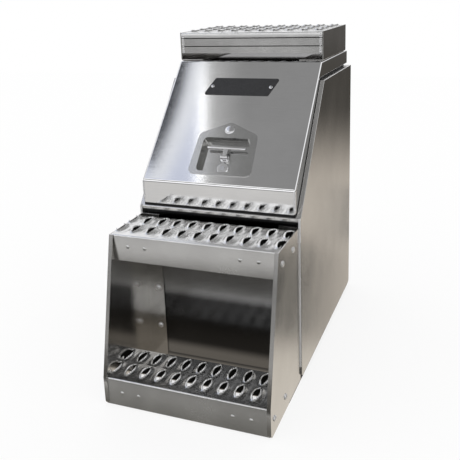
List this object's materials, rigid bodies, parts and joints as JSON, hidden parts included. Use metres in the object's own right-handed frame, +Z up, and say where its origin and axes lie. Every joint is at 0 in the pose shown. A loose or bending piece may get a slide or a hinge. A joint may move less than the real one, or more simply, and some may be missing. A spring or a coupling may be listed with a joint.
{
  "type": "truck step box",
  "caption": "Aluminium truck tool box with a hinged sloping lid, a recessed T-handle latch, a grip tread on top and a bolted two-step frame in front.",
  "frame": {"origin": "centre of the whole object's footprint, level with the underside of the step frame", "axes": "+X to the right seen from the steps, +Y from the steps to the box's back, +Z up"},
  "size_m": [0.4572, 0.887, 0.909],
  "materials": {
    "sheet": "mill-finish aluminium sheet, softly reflecting",
    "polished": "bright polished aluminium sheet",
    "grip": "formed aluminium grip plank, satin",
    "steel": "zinc-plated or stainless steel",
    "chrome": "chrome-plated casting",
    "rubber": "matt black sponge rubber",
    "black_plate": "black painted plate, left bare"
  },
  "bodies": {
    "box": {"side_panel_left": "sheet", "side_panel_right": "sheet", "body_wrap": "sheet", "jamb_seal": "rubber", "hinge_leaf_body": "steel", "hinge_pin": "steel", "step_side_left": "sheet", "step_side_right": "sheet", "upper_tread": "grip", "lower_tread": "grip", "upper_bracket_left": "sheet", "upper_bracket_right": "sheet", "lower_bracket_left": "sheet", "lower_bracket_right": "sheet", "upper_left_1_bolt": "steel", "upper_left_2_bolt": "steel", "upper_right_1_bolt": "steel", "upper_right_2_bolt": "steel", "lower_left_1_bolt": "steel", "lower_left_2_bolt": "steel", "lower_right_1_bolt": "steel", "lower_right_2_bolt": "steel", "frame_left_low_bolt": "steel", "frame_left_high_bolt": "steel", "frame_right_low_bolt": "steel", "frame_right_high_bolt": "steel", "upper_left_1_nut": "steel", "upper_left_2_nut": "steel", "upper_right_1_nut": "steel", "upper_right_2_nut": "steel", "lower_left_1_nut": "steel", "lower_left_2_nut": "steel", "lower_right_1_nut": "steel", "lower_right_2_nut": "steel", "frame_left_low_nut": "steel", "frame_left_high_nut": "steel", "frame_right_low_nut": "steel", "frame_right_high_nut": "steel"},
    "lid": {"lid_pan": "polished", "hinge_leaf_lid": "steel", "top_tread": "grip", "top_tread_end_left": "sheet", "top_tread_end_right": "sheet", "nameplate": "black_plate", "latch_tray": "polished", "tray_bolt": "steel", "tray_nut": "steel", "lock_housing": "chrome"},
    "latch_spindle": {"spindle": "steel", "cam": "steel", "cam_nut": "steel", "handle_pin": "steel"},
    "latch_handle": {"t_handle": "chrome"},
    "lock_core": {"lock_plug": "steel"}
  },
  "joints": [
    {"name": "lid_hinge", "type": "hinge", "parent": "box", "child": "lid", "pos_m": [0, 0.4395, 0.7776], "axis": [-1, 0, 0], "range_deg": [0, 75]},
    {"name": "spindle_turn", "type": "hinge", "parent": "lid", "child": "latch_spindle", "pos_m": [0, -0.10904, 0.58142], "axis": [0, -0.7182, 0.6959], "range_deg": [0, 90]},
    {"name": "handle_fold", "type": "hinge", "parent": "latch_spindle", "child": "latch_handle", "pos_m": [0, -0.1168, 0.58893], "axis": [1, 0, 0], "range_deg": [0, 90]},
    {"name": "lock_turn", "type": "hinge", "parent": "lid", "child": "lock_core", "pos_m": [0, -0.12992, 0.55988], "axis": [0, -0.7182, 0.6959], "range_deg": [0, 90]}
  ],
  "couplings": [
    {"joint": "spindle_turn", "follows": "handle_fold", "ratio": 1}
  ]
}
